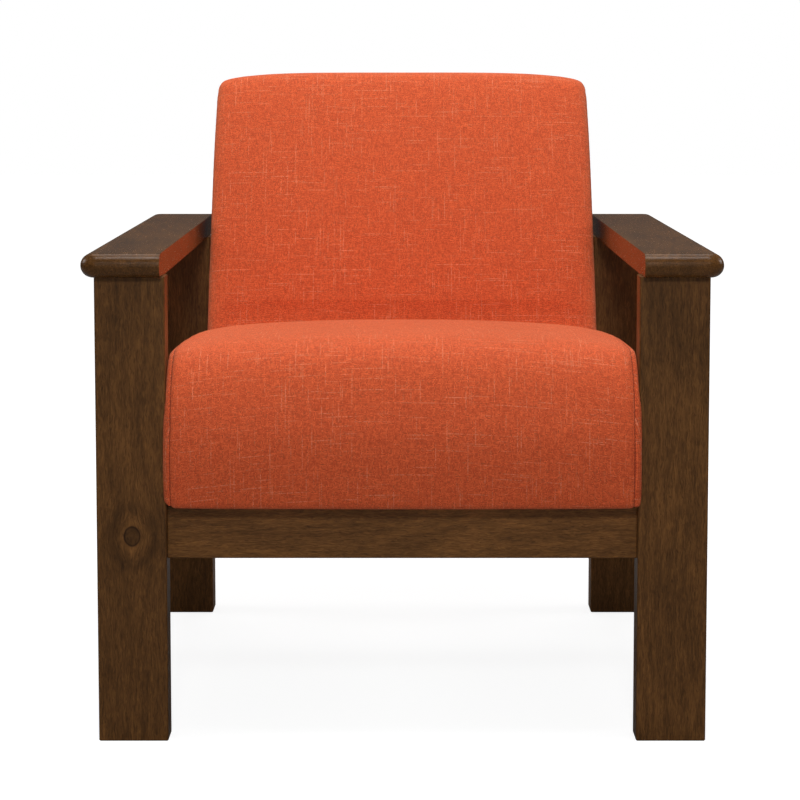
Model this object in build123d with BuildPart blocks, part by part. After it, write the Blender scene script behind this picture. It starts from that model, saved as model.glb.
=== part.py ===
from build123d import *
import os
from math import cos, radians, sin, tan

# A fixed armchair: four board legs, two flat arm boards and five rails carry an upholstered
# seat box and a reclined upholstered back. X runs across the chair, -Y is the front and +Z is
# up. The origin lies on the floor under the middle of the chair. Left and right are as seen
# from the front. Lengths are in millimetres and angles in degrees.

# Legs
opening_width = 526.0  # between the inner faces of the left and right legs
leg_width = 78.0
front_leg_depth = 37.0
rear_leg_depth = 45.0
leg_gap = 590.0  # clear run from a front leg to the rear leg behind it
leg_height = 524.0
leg_edge_chamfer = 1.2

# Arms
arm_length = 748.0
arm_width = 88.5
arm_thickness = 26.6
arm_front_overhang = 20.0
arm_inner_setback = 3.5  # from the legs' inner faces to the arm's inner edge
arm_corner_radius = 18.0
arm_nose_radius = 13.0

# Rails of the show-wood frame
rail_bottom_z = 206.0
rail_height = 60.0
rail_edge_chamfer = 1.2
front_rail_thickness = 22.0
front_rail_recess = 13.0
side_rail_thickness = 26.0
rear_lower_rail_thickness = 22.0
rear_upper_rail_height = 46.0
rear_upper_rail_thickness = 26.0
rear_upper_rail_drop = 27.0  # from the legs' top to the rail's middle
cleat_width = 32.0
cleat_height = 26.0
corner_block_leg = 46.0
corner_block_height = 40.0
corner_block_drop = 10.0  # from the rails' top edge to the block's top

# Dowels, screws and bolts. Their diameters are across the flats of their few sides.
peg_sides = 8
arm_dowel_diameter = 10.0
arm_dowel_length = 36.0
arm_dowel_spacing = 40.0
rail_dowel_diameter = 8.0
rail_dowel_length = 24.0
front_dowel_spacing = 40.0
side_dowel_spacing = 18.0
upper_dowel_spacing = 18.0
upper_dowel_depth = 17.0  # behind the rail's leaning front face
dowel_clearance = 0.1
dowel_end_gap = 1.0
cleat_screw_diameter = 4.5
cleat_screw_length = 50.0
cleat_screw_head_diameter = 8.6
cleat_screw_count = 3
cleat_screw_inset = 60.0
bolt_diameter = 6.0
bolt_head_diameter = 12.0
bolt_head_height = 3.6
bolt_socket_diameter = 4.6
bolt_socket_depth = 2.2
bolt_socket_sides = 6
bolt_hole_clearance = 0.25
seat_bolt_reach = 16.0  # into the timber above
seat_bolt_inset = 90.0
back_bolt_reach = 24.0
back_bolt_recess = 12.0
insert_wall = 2.2
insert_length = 13.0
back_screw_diameter = 5.0
back_screw_reach = 16.0
back_screw_spacing = 300.0
back_screw_head_diameter = 9.6
screw_tip_angle = 22.0
fastener_clearance = 0.1

# Seat box and cover
soft_clearance = 0.3
cover_thickness = 2.0
cover_turn_in = 40.0  # strip turned under the box
back_turn_in = 18.0  # strip turned under the back's foot
dust_cover_thickness = 1.0
seat_front_proud = 20.0  # ahead of the front legs' faces
seat_top_front_z = 452.0
seat_pitch = 4.0
seat_roll_radius = 52.0
seat_front_angle = 5.0
seat_crown_sagitta = 5.0
seat_crown_angle = 2.6  # between the crowned top's first tangent and its chord
seat_side_drop = 18.0
seat_side_radius = 17.0
seat_bottom_tuck = 7.0
wadding_thickness = 6.0
seat_front_foam = 26.0
frame_timber_thickness = 22.0
seat_frame_height = 70.0
seat_block_leg = 48.0

# Springs under the seat
spring_wire_diameter = 3.6
spring_wire_sides = 4
spring_corner_share = 0.28  # of the pitch, cut off each corner of a bend
spring_count = 4
spring_pitch = 40.0
spring_bar_length = 22.0
spring_side_inset = 66.0
clip_thickness = 1.2
clip_width = 16.0
clip_length = 13.0
clip_clearance = 0.2
spring_pad_thickness = 3.0

# Back
meeting_depth = 485.0  # from the front legs' faces to the back's face, where the seat meets it
meeting_rise = 3.0  # from the seat's rear edge to where the back starts to bulge
recline = 22.0
back_thickness = 98.0
back_top_z = 750.0
back_side_gap = 1.5  # from the legs' inner faces to the back's foot
back_taper = 9.0  # on each side, from the rails' top edge to the back's top
back_bulge_angle = 9.0
back_front_radius = 26.0
back_rear_radius = 14.0
back_side_drop = 12.0
back_side_radius = 13.0
back_side_wadding = 7.0
back_top_wadding = 9.0
back_board_thickness = 3.0
stile_width = 44.0
stile_thickness = 28.0
back_rail_height = 50.0
webbing_width = 50.0
webbing_thickness = 1.6
webbing_count = 4

# Stations of a cushion's cross sections, as shares of its half width, and the turns of its
# rounded side, in degrees
station_shares = (0.0, 0.3, 0.55, 0.76)
side_turns = (0.0, 26.0, 50.0, 72.0)
half_turn = 180.0
quarter_turn = 90.0
seat_drop_power = 2
back_drop_power = 5

# Places that follow from the sizes above
half_opening = opening_width / 2
leg_x = half_opening + leg_width / 2
arm_inner_x = half_opening + arm_inner_setback
front_leg_y = -arm_length / 2 + arm_front_overhang
front_leg_back_y = front_leg_y + front_leg_depth
rear_leg_y = front_leg_back_y + leg_gap
rail_top_z = rail_bottom_z + rail_height
rail_mid_z = rail_bottom_z + rail_height / 2
front_rail_y = front_leg_y + front_rail_recess
front_rail_back_y = front_rail_y + front_rail_thickness
side_rail_x = half_opening + side_rail_thickness / 2
cleat_bottom_z = rail_top_z - cleat_height
rear_upper_rail_z = leg_height - rear_upper_rail_drop
back_bottom_half_width = half_opening - back_side_gap
back_top_half_width = back_bottom_half_width - back_taper
lean = tan(radians(recline))
lean_sin = sin(radians(recline))
lean_cos = cos(radians(recline))
meeting_y = front_leg_y + meeting_depth
seat_run = meeting_depth + seat_front_proud - seat_roll_radius
meeting_z = seat_top_front_z - seat_run * tan(radians(seat_pitch)) + meeting_rise
skin = cover_thickness + soft_clearance
box_bottom_z = rail_top_z + skin

# The back is laid out on its own plane: X across, Y up the slope, Z out of its front face
back_plane = Plane(
    origin=(0, meeting_y, meeting_z), x_dir=(1, 0, 0), z_dir=(0, -lean_cos, lean_sin)
)


def back_point(up, behind):
    """Y and Z of a point that lies up the slope and behind the back's front face."""
    y = meeting_y + up * lean_sin + behind * lean_cos
    z = meeting_z + up * lean_cos - behind * lean_sin
    return (y, z)


def slope_at(z, behind):
    """Distance up the slope to height z, at a depth behind the front face."""
    return (z - meeting_z + behind * lean_sin) / lean_cos


def keep(part, name):
    """Label a finished piece and write it."""
    part.label = name
    export_step(part, f"parts/{name}.step")


def keep_pair(part, name):
    """Write the right-hand piece and its mirror image."""
    with BuildPart() as twin:
        mirror(part, about=Plane.YZ)
    keep(part, f"{name}_right")
    keep(twin.part, f"{name}_left")


def mirrored(places):
    """The same places on the other side of the chair."""
    return [(-place[0], *place[1:]) for place in places]


def pegs(places, direction, radius, length, mode=Mode.ADD):
    """Straight pegs, or holes for pegs, centred on each place."""
    with BuildPart() as peg:
        with BuildSketch():
            RegularPolygon(radius, peg_sides, major_radius=False)
        extrude(amount=length / 2, both=True)
    with Locations(*[Plane(origin=place, z_dir=direction) for place in places]):
        add(peg.part, mode=mode)


def dowel_holes(places, direction, diameter, length):
    """Sockets for dowels that are centred on the joint between two pieces."""
    radius = diameter / 2 + dowel_clearance
    pegs(places, direction, radius, length + 2 * dowel_end_gap, Mode.SUBTRACT)


def board(low, high, easing, axis):
    """A board between two corners, with the edges along one axis eased."""
    middle = [(a + b) / 2 for a, b in zip(low, high)]
    size = [b - a for a, b in zip(low, high)]
    with BuildPart() as plank:
        with Locations(tuple(middle)):
            Box(*size)
        chamfer(plank.edges().filter_by(axis), easing)
    return plank.part


# Joints of the show-wood frame: the middles of their dowels
front_joint = [
    (half_opening, front_rail_y + front_rail_thickness / 2, rail_mid_z + up)
    for up in (-front_dowel_spacing / 2, front_dowel_spacing / 2)
]
side_joint = [
    (side_rail_x, y, rail_mid_z + up)
    for y in (front_leg_back_y, rear_leg_y)
    for up in (-side_dowel_spacing / 2, side_dowel_spacing / 2)
]
back_foot_y = meeting_y - (meeting_z - box_bottom_z) * lean
stile_front = back_thickness - skin - back_board_thickness - stile_thickness
stile_foot_y = back_foot_y + (stile_front + stile_thickness / 2) / lean_cos
rear_lower_rail_y = stile_foot_y - rear_lower_rail_thickness / 2
lower_joint = [
    (half_opening, stile_foot_y, rail_mid_z + up)
    for up in (-front_dowel_spacing / 2, front_dowel_spacing / 2)
]
upper_rail_front = back_thickness + soft_clearance
upper_rail_middle = upper_rail_front + rear_upper_rail_thickness / 2
upper_rail_up = slope_at(rear_upper_rail_z, upper_rail_middle)
upper_joint = [
    (half_opening, *back_point(upper_rail_up + up, upper_rail_front + upper_dowel_depth))
    for up in (-upper_dowel_spacing / 2, upper_dowel_spacing / 2)
]
arm_joint = [
    (leg_x + across, y, leg_height)
    for y in (front_leg_y + front_leg_depth / 2, rear_leg_y + rear_leg_depth / 2)
    for across in (-arm_dowel_spacing / 2, arm_dowel_spacing / 2)
]


def leg(front_y, depth):
    """A board leg with the sockets of the arm's and the rails' dowels."""
    low = (half_opening, front_y, 0)
    high = (half_opening + leg_width, front_y + depth, leg_height)
    with BuildPart() as post:
        add(board(low, high, leg_edge_chamfer, Axis.Z))
        chamfer(post.faces().sort_by(Axis.Z)[0].edges(), leg_edge_chamfer)
        dowel_holes(arm_joint, (0, 0, 1), arm_dowel_diameter, arm_dowel_length)
        dowel_holes(front_joint, (1, 0, 0), rail_dowel_diameter, rail_dowel_length)
        dowel_holes(side_joint, (0, 1, 0), rail_dowel_diameter, rail_dowel_length)
        dowel_holes(upper_joint, (1, 0, 0), rail_dowel_diameter, rail_dowel_length)
    return post.part


def arm():
    """A flat arm board: bull-nosed all round but for its square inner edge."""
    with BuildPart() as slab:
        with BuildSketch(Plane.XY.offset(leg_height)):
            with Locations((arm_inner_x + arm_width / 2, 0)):
                Rectangle(arm_width, arm_length)
        extrude(amount=arm_thickness)
        fillet(slab.edges().filter_by(Axis.Z).sort_by(Axis.X)[-2:], arm_corner_radius)
        faces = slab.faces().filter_by(Axis.Z)
        nose = [edge for face in faces for edge in face.edges().sort_by(Axis.X)[1:]]
        fillet(nose, min(arm_nose_radius, arm_thickness / 2 - soft_clearance))
        dowel_holes(arm_joint, (0, 0, 1), arm_dowel_diameter, arm_dowel_length)
    return slab.part


def cushion_stations(radius, half_width):
    """Share of the half width and inward draw of each cross section, from side to side."""
    right = [(share, 0.0) for share in station_shares[1:]]
    outermost = radius * (1 - sin(radians(side_turns[-1])))
    for turn in side_turns:
        reach = half_width - radius * (1 - sin(radians(turn))) + outermost
        right.append((reach / half_width, radius * (1 - cos(radians(turn)))))
    left = [(-share, draw) for share, draw in reversed(right)]
    return left + [(station_shares[0], 0.0)] + right


def seat_section(inset, draw, drop):
    """Side profile of the seat: tucked front, rolled edge, crowned top, leaning rear end."""
    angle = radians(seat_front_angle)
    radius = seat_roll_radius - inset
    bottom_z = rail_top_z + inset + min(draw, seat_bottom_tuck)
    top_z = seat_top_front_z - inset - drop - draw
    fall = radians(seat_pitch - seat_crown_angle)
    roll_z = top_z - radius * cos(fall)
    start_z = roll_z + radius * sin(angle)
    sagitta = (start_z - bottom_z) / 2 * tan(angle / 2)
    start_y = front_leg_y - seat_front_proud + inset + draw + sagitta
    roll_y = start_y + radius * cos(angle)
    turn = (radians(half_turn + quarter_turn) - angle - fall) / 2
    start = (start_y, start_z)
    rolled = (roll_y + radius * sin(fall), top_z)
    rear_y = meeting_y - (soft_clearance + inset) / lean_cos
    pitch = radians(seat_pitch)
    run = (rear_y + (top_z - meeting_z) * lean - rolled[0]) / (1 + tan(pitch) * lean)
    rear_top = (rolled[0] + run, top_z - run * tan(pitch))
    rear_low = (rear_y - (meeting_z - bottom_z) * lean, bottom_z)
    front_low = (start_y, bottom_z)
    bulge = (start_y - sagitta, (start_z + bottom_z) / 2)
    roll = (roll_y + radius * cos(turn), roll_z + radius * sin(turn))
    crown_y = (rolled[0] + rear_top[0]) / 2 + seat_crown_sagitta * sin(pitch)
    crown_z = (rolled[1] + rear_top[1]) / 2 + seat_crown_sagitta * cos(pitch)
    with BuildSketch() as profile:
        with BuildLine():
            Line(rear_low, front_low)
            ThreePointArc(front_low, bulge, start)
            ThreePointArc(start, roll, rolled)
            ThreePointArc(rolled, (crown_y, crown_z), rear_top)
            Line(rear_top, rear_low)
        make_face()
    return profile.sketch


def back_section(inset, draw, drop):
    """Side profile of the back: straight foot, crowned face, rolled top, leaning rear."""
    angle = radians(back_bulge_angle)
    radius = back_front_radius - inset
    rear_radius = back_rear_radius - inset
    face = inset + draw
    rear = back_thickness - inset
    bottom_z = rail_top_z + inset + min(draw, seat_bottom_tuck)
    middle = face + radius * cos(angle)
    top_z = back_top_z - inset - draw - drop
    roll_up = slope_at(top_z - radius, middle)
    start_up = roll_up + radius * sin(angle)
    sagitta = start_up / 2 * tan(angle / 2)
    turn = (radians(half_turn + quarter_turn) - angle) / 2
    top_up = roll_up + radius
    rear_middle = (rear - rear_radius, top_up - rear_radius)
    points = {
        "front_low": (face, slope_at(bottom_z, face)),
        "meeting": (face, 0.0),
        "bulge": (face - sagitta, start_up / 2),
        "start": (face, start_up),
        "roll": (middle + radius * cos(turn), roll_up + radius * sin(turn)),
        "top": (middle, top_up),
        "top_rear": (rear_middle[0], top_up),
        "turned": (
            rear_middle[0] + rear_radius * sin(radians(quarter_turn) / 2),
            rear_middle[1] + rear_radius * cos(radians(quarter_turn) / 2),
        ),
        "rear": (rear, rear_middle[1]),
        "rear_low": (rear, slope_at(bottom_z, rear)),
    }
    spots = {name: back_point(up, behind) for name, (behind, up) in points.items()}
    with BuildSketch() as profile:
        with BuildLine():
            Line(spots["rear_low"], spots["front_low"])
            Line(spots["front_low"], spots["meeting"])
            ThreePointArc(spots["meeting"], spots["bulge"], spots["start"])
            ThreePointArc(spots["start"], spots["roll"], spots["top"])
            Line(spots["top"], spots["top_rear"])
            ThreePointArc(spots["top_rear"], spots["turned"], spots["rear"])
            Line(spots["rear"], spots["rear_low"])
        make_face()
    return profile.sketch


def cushion_form(section, radius, drop, power, half_width, narrowing=0.0):
    """A crowned closed form, lofted from side to side through its cross sections."""
    with BuildPart() as form:
        for share, draw in cushion_stations(radius, half_width):
            foot = (share * half_width, 0, rail_top_z)
            station = Plane(origin=foot, x_dir=(0, 1, 0), z_dir=(1, 0, share * narrowing))
            with BuildSketch(station):
                add(Pos(0, -rail_top_z) * section(draw, drop * abs(share) ** power))
        loft(ruled=True)
    return form.part


def seat_form(inset):
    """The seat's form, drawn in by an even distance on every side."""
    return cushion_form(
        lambda draw, drop: seat_section(inset, draw, drop),
        seat_side_radius - inset,
        seat_side_drop,
        seat_drop_power,
        half_opening - soft_clearance - inset,
    )


def back_form(inset):
    """The back's form, narrower at its top, drawn in by an even distance on every side."""
    return cushion_form(
        lambda draw, drop: back_section(inset, draw, drop),
        back_side_radius - inset,
        back_side_drop,
        back_drop_power,
        back_bottom_half_width - inset,
        (back_bottom_half_width - back_top_half_width) / (back_top_z - rail_top_z),
    )


def block(low, high):
    """A plain block between two corners, on the plane where it is made."""
    middle = [(a + b) / 2 for a, b in zip(low, high)]
    size = [b - a for a, b in zip(low, high)]
    with BuildPart() as lump:
        with Locations(tuple(middle)):
            Box(*size)
    return lump.part


def back_block(across, behind, up):
    """A block laid out on the leaning back: its spans across, behind the face and up."""
    low = (across[0], up[0], -behind[1])
    high = (across[1], up[1], -behind[0])
    return back_plane.location * block(low, high)


# Places of the seat box's timbers
seat_half = half_opening - 2 * soft_clearance - seat_side_radius
seat_box_front_y = front_leg_y - seat_front_proud + skin + seat_front_foam
seat_rear_y = meeting_y - (soft_clearance + skin) / lean_cos
seat_box_rear_y = seat_rear_y - (meeting_z - box_bottom_z) * lean - wadding_thickness
seat_box_top_z = box_bottom_z + seat_frame_height
seat_inner_x = seat_half - frame_timber_thickness
seat_inner_front_y = seat_box_front_y + frame_timber_thickness
seat_inner_rear_y = seat_box_rear_y - frame_timber_thickness
wire_z = seat_box_top_z + clip_thickness + clip_clearance + spring_wire_diameter / 2
clip_top_z = wire_z + spring_wire_diameter / 2 + clip_clearance + clip_thickness
pad_z = clip_top_z + soft_clearance
pad_top_z = pad_z + spring_pad_thickness

# Places of the back's timbers, measured behind the front face and up the slope
stile_back = stile_front + stile_thickness
back_half = back_top_half_width - skin - back_side_wadding
back_frame_top = (
    slope_at(back_top_z - back_side_drop - back_front_radius, back_front_radius)
    + back_front_radius
    - skin
    - back_top_wadding
)
back_frame_low = slope_at(box_bottom_z, stile_back)
webbing_front = stile_front - webbing_thickness

# Places of the fasteners
bolt_x = (half_opening - cleat_width + seat_half) / 2
seat_bolt_spots = [
    (side * bolt_x, y)
    for side in (-1, 1)
    for y in (seat_inner_front_y + seat_bolt_inset, seat_inner_rear_y - seat_bolt_inset)
]
back_bolt_spots = [(side * (back_half - stile_width / 2), stile_foot_y) for side in (-1, 1)]
back_normal = (0, -lean_cos, lean_sin)
upper_rail_rear = upper_rail_front + rear_upper_rail_thickness
back_screw_mouths = [
    Plane(
        origin=(side * back_screw_spacing / 2, *back_point(upper_rail_up, upper_rail_rear)),
        z_dir=back_normal,
    )
    for side in (-1, 1)
]
insert_radius = bolt_diameter / 2 + insert_wall
hole_radius = bolt_diameter / 2 + bolt_hole_clearance
screw_radius = back_screw_diameter / 2 + fastener_clearance


def upright_holes(spots, low_z, high_z, radius):
    """Vertical holes between two heights."""
    places = [(x, y, (low_z + high_z) / 2) for x, y in spots]
    pegs(places, (0, 0, 1), radius, high_z - low_z, Mode.SUBTRACT)


def screw_solid(diameter, head_diameter, length, gap):
    """A countersunk screw along +Z with its head at the origin, or its hole, a gap larger."""
    radius = diameter / 2 + gap
    head = head_diameter / 2 + gap
    with BuildPart() as screw:
        for level, size in ((0, head), (head - radius, radius)):
            with BuildSketch(Plane.XY.offset(level)):
                RegularPolygon(size, peg_sides, major_radius=False)
        loft()
        with BuildSketch(Plane.XY.offset(head - radius)):
            RegularPolygon(radius, peg_sides, major_radius=False)
        extrude(amount=length - diameter - head + radius)
        with BuildSketch(Plane.XY.offset(length - diameter)):
            RegularPolygon(radius, peg_sides, major_radius=False)
        extrude(amount=diameter, taper=screw_tip_angle)
    return screw.part


def cleat_screw(gap):
    return screw_solid(cleat_screw_diameter, cleat_screw_head_diameter, cleat_screw_length, gap)


def back_screw(gap):
    """The screw that goes through the rear upper rail and the board into the back's rail."""
    through = rear_upper_rail_thickness + 2 * soft_clearance + cover_thickness + back_board_thickness
    length = through + back_screw_reach
    return screw_solid(back_screw_diameter, back_screw_head_diameter, length, gap)


def bolt_solid(length):
    """A bolt along +Z, with the seat of its head at the origin and a hexagon socket."""
    with BuildPart() as bolt:
        with BuildSketch(Plane.XY):
            RegularPolygon(bolt_diameter / 2, peg_sides, major_radius=False)
        extrude(amount=length)
        with BuildSketch(Plane.XY):
            RegularPolygon(bolt_head_diameter / 2, peg_sides, major_radius=False)
        extrude(amount=-bolt_head_height)
        with BuildSketch(Plane.XY.offset(-bolt_head_height)):
            RegularPolygon(bolt_socket_diameter / 2, bolt_socket_sides)
        extrude(amount=bolt_socket_depth, mode=Mode.SUBTRACT)
    return bolt.part


def make_front_rail():
    low = (-half_opening, front_rail_y, rail_bottom_z)
    high = (half_opening, front_rail_back_y, rail_top_z)
    with BuildPart() as rail:
        add(board(low, high, rail_edge_chamfer, Axis.X))
        for joint in (front_joint, mirrored(front_joint)):
            dowel_holes(joint, (1, 0, 0), rail_dowel_diameter, rail_dowel_length)
    keep(rail.part, "front_rail")


def cleat_screw_places():
    """Middles of the cleat screws, along the right-hand cleat."""
    run = rear_lower_rail_y - front_rail_back_y - 2 * cleat_screw_inset
    step = run / (cleat_screw_count - 1)
    return [
        (
            half_opening - cleat_width + cleat_screw_length / 2,
            front_rail_back_y + cleat_screw_inset + index * step,
            (cleat_bottom_z + rail_top_z) / 2,
        )
        for index in range(cleat_screw_count)
    ]


def cleat_screw_mouths(side):
    """Planes at the mouths of the cleat screws' holes, facing outward on one side."""
    mouth_x = side * (half_opening - cleat_width)
    return [
        Plane(origin=(mouth_x, y, z), z_dir=(side, 0, 0)) for _, y, z in cleat_screw_places()
    ]


def make_side_rail():
    low = (half_opening, front_leg_back_y, rail_bottom_z)
    high = (half_opening + side_rail_thickness, rear_leg_y, rail_top_z)
    screw = cleat_screw_diameter / 2 + fastener_clearance
    with BuildPart() as rail:
        add(board(low, high, rail_edge_chamfer, Axis.Y))
        dowel_holes(side_joint, (0, 1, 0), rail_dowel_diameter, rail_dowel_length)
        dowel_holes(lower_joint, (1, 0, 0), rail_dowel_diameter, rail_dowel_length)
        pegs(cleat_screw_places(), (1, 0, 0), screw, cleat_screw_length, Mode.SUBTRACT)
    keep_pair(rail.part, "side_rail")


def make_rear_lower_rail():
    low = (-half_opening, rear_lower_rail_y, rail_bottom_z)
    high = (half_opening, rear_lower_rail_y + rear_lower_rail_thickness, rail_top_z)
    recess = bolt_head_diameter / 2 + bolt_hole_clearance
    with BuildPart() as rail:
        add(board(low, high, rail_edge_chamfer, Axis.X))
        for joint in (lower_joint, mirrored(lower_joint)):
            dowel_holes(joint, (1, 0, 0), rail_dowel_diameter, rail_dowel_length)
        upright_holes(back_bolt_spots, rail_bottom_z, rail_top_z, hole_radius)
        upright_holes(back_bolt_spots, rail_bottom_z, rail_bottom_z + back_bolt_recess, recess)
    keep(rail.part, "rear_lower_rail")


def make_rear_upper_rail():
    half_height = rear_upper_rail_height / 2
    low = (-half_opening, upper_rail_up - half_height, -upper_rail_front - rear_upper_rail_thickness)
    high = (half_opening, upper_rail_up + half_height, -upper_rail_front)
    with BuildPart() as rail:
        add(back_plane.location * board(low, high, rail_edge_chamfer, Axis.X))
        for joint in (upper_joint, mirrored(upper_joint)):
            dowel_holes(joint, (1, 0, 0), rail_dowel_diameter, rail_dowel_length)
        with Locations(*back_screw_mouths):
            add(back_screw(fastener_clearance), mode=Mode.SUBTRACT)
    keep(rail.part, "rear_upper_rail")


def make_cleat():
    low = (half_opening - cleat_width, front_rail_back_y, cleat_bottom_z)
    high = (half_opening, rear_lower_rail_y, rail_top_z)
    with BuildPart() as strip:
        add(board(low, high, rail_edge_chamfer, Axis.Y))
        with Locations(*cleat_screw_mouths(1)):
            add(cleat_screw(fastener_clearance), mode=Mode.SUBTRACT)
        upright_holes(seat_bolt_spots, cleat_bottom_z, rail_top_z, hole_radius)
    keep_pair(strip.part, "seat_cleat")


def make_corner_blocks():
    """Glued blocks in the front corners, under the level of the dust cover."""
    corner_x = half_opening - cleat_width
    top = rail_top_z - corner_block_drop
    with BuildPart() as blocks:
        with BuildSketch(Plane.XY.offset(top - corner_block_height)):
            for side in (-1, 1):
                with BuildLine():
                    Polyline(
                        (side * corner_x, front_rail_back_y),
                        (side * (corner_x - corner_block_leg), front_rail_back_y),
                        (side * corner_x, front_rail_back_y + corner_block_leg),
                        close=True,
                    )
                make_face()
        extrude(amount=corner_block_height)
    keep(blocks.part, "frame_corner_blocks")


def make_dowels():
    with BuildPart() as arm_pegs:
        for joint in (arm_joint, mirrored(arm_joint)):
            pegs(joint, (0, 0, 1), arm_dowel_diameter / 2, arm_dowel_length)
    keep(arm_pegs.part, "arm_dowels")
    radius = rail_dowel_diameter / 2
    with BuildPart() as rail_pegs:
        for across in (front_joint, lower_joint, upper_joint):
            pegs(across + mirrored(across), (1, 0, 0), radius, rail_dowel_length)
        pegs(side_joint + mirrored(side_joint), (0, 1, 0), radius, rail_dowel_length)
    keep(rail_pegs.part, "rail_dowels")


def make_fasteners():
    with BuildPart() as cleat_screws:
        with Locations(*cleat_screw_mouths(-1), *cleat_screw_mouths(1)):
            add(cleat_screw(0.0))
    keep(cleat_screws.part, "cleat_screws")

    seat_length = cleat_height + skin + seat_bolt_reach
    with BuildPart() as seat_bolts:
        with Locations(*[(x, y, cleat_bottom_z) for x, y in seat_bolt_spots]):
            add(bolt_solid(seat_length))
    keep(seat_bolts.part, "seat_bolts")

    back_length = rail_height - back_bolt_recess + skin + back_bolt_reach
    with BuildPart() as back_bolts:
        with Locations(*[(x, y, rail_bottom_z + back_bolt_recess) for x, y in back_bolt_spots]):
            add(bolt_solid(back_length))
    keep(back_bolts.part, "back_bolts")

    bore = bolt_diameter / 2 + fastener_clearance
    for name, spots in (("seat_inserts", seat_bolt_spots), ("back_inserts", back_bolt_spots)):
        with BuildPart() as inserts:
            with BuildSketch(Plane.XY.offset(box_bottom_z)):
                with Locations(*spots):
                    RegularPolygon(insert_radius, peg_sides, major_radius=False)
                    RegularPolygon(bore, peg_sides, major_radius=False, mode=Mode.SUBTRACT)
            extrude(amount=insert_length)
        keep(inserts.part, name)

    with BuildPart() as back_screws:
        with Locations(*back_screw_mouths):
            add(back_screw(0.0))
    keep(back_screws.part, "back_screws")


def make_seat_frame():
    """The timber box: front and rear rails across, side rails between them, corner blocks."""
    rails = {
        "seat_frame_front": (-seat_half, seat_box_front_y, seat_half, seat_inner_front_y),
        "seat_frame_rear": (-seat_half, seat_inner_rear_y, seat_half, seat_box_rear_y),
        "seat_frame_left": (-seat_half, seat_inner_front_y, -seat_inner_x, seat_inner_rear_y),
        "seat_frame_right": (seat_inner_x, seat_inner_front_y, seat_half, seat_inner_rear_y),
    }
    for name, (low_x, low_y, high_x, high_y) in rails.items():
        with BuildPart() as rail:
            add(block((low_x, low_y, box_bottom_z), (high_x, high_y, seat_box_top_z)))
            top = box_bottom_z + insert_length
            upright_holes(seat_bolt_spots, box_bottom_z, top, insert_radius)
            bolt_top = box_bottom_z + seat_bolt_reach + dowel_end_gap
            upright_holes(seat_bolt_spots, top, bolt_top, hole_radius)
        keep(rail.part, name)
    with BuildPart() as blocks:
        with BuildSketch(Plane.XY.offset(box_bottom_z)):
            for x, reach_x in ((-seat_inner_x, seat_block_leg), (seat_inner_x, -seat_block_leg)):
                for y, reach_y in (
                    (seat_inner_front_y, seat_block_leg),
                    (seat_inner_rear_y, -seat_block_leg),
                ):
                    with BuildLine():
                        Polyline((x, y), (x + reach_x, y), (x, y + reach_y), close=True)
                    make_face()
        extrude(amount=seat_frame_height)
    keep(blocks.part, "seat_frame_blocks")


def spring_path(x, front_y, rear_y):
    """A zigzag of bars across and square bends, from the front rail to the rear rail."""
    bends = int((rear_y - front_y) // spring_pitch)
    pitch = (rear_y - front_y) / bends
    corner = pitch * spring_corner_share
    side = 1
    points = [(x - spring_bar_length / 2, front_y)]
    for index in range(bends):
        y = front_y + index * pitch
        bend_x = x + side * spring_bar_length / 2
        outer_x = bend_x + side * corner
        points += [(bend_x, y), (outer_x, y + corner)]
        points += [(outer_x, y + pitch - corner), (bend_x, y + pitch)]
        side = -side
    points.append((x + side * spring_bar_length / 2, rear_y))
    with BuildLine(Plane.XY.offset(wire_z)) as path:
        Polyline(*points)
    return path.line


def make_springs():
    """Zigzag springs, each held by a clip on the front rail and one on the rear rail."""
    front_y = (seat_box_front_y + seat_inner_front_y) / 2
    rear_y = (seat_inner_rear_y + seat_box_rear_y) / 2
    span = 2 * (seat_inner_x - spring_side_inset)
    columns = [-span / 2 + index * span / (spring_count - 1) for index in range(spring_count)]
    with BuildPart() as springs:
        for x in columns:
            path = spring_path(x, front_y, rear_y)
            with BuildSketch(Plane(origin=path @ 0, z_dir=path % 0)):
                RegularPolygon(spring_wire_diameter / 2, spring_wire_sides)
            sweep(path=path, transition=Transition.RIGHT)
    keep(springs.part, "seat_springs")

    low = seat_box_top_z
    inner = spring_wire_diameter / 2 + clip_clearance
    with BuildPart() as clips:
        for y, open_side in ((front_y, 1), (rear_y, -1)):
            back = y - open_side * (inner + clip_thickness)
            mouth = back + open_side * clip_length
            wall = back + open_side * clip_thickness
            for x in columns:
                with BuildSketch(Plane.YZ.offset(x - clip_width / 2)):
                    with BuildLine():
                        Polyline(
                            (back, low),
                            (mouth, low),
                            (mouth, low + clip_thickness),
                            (wall, low + clip_thickness),
                            (wall, clip_top_z - clip_thickness),
                            (mouth, clip_top_z - clip_thickness),
                            (mouth, clip_top_z),
                            (back, clip_top_z),
                            close=True,
                        )
                    make_face()
                extrude(amount=clip_width)
    keep(clips.part, "spring_clips")


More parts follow.
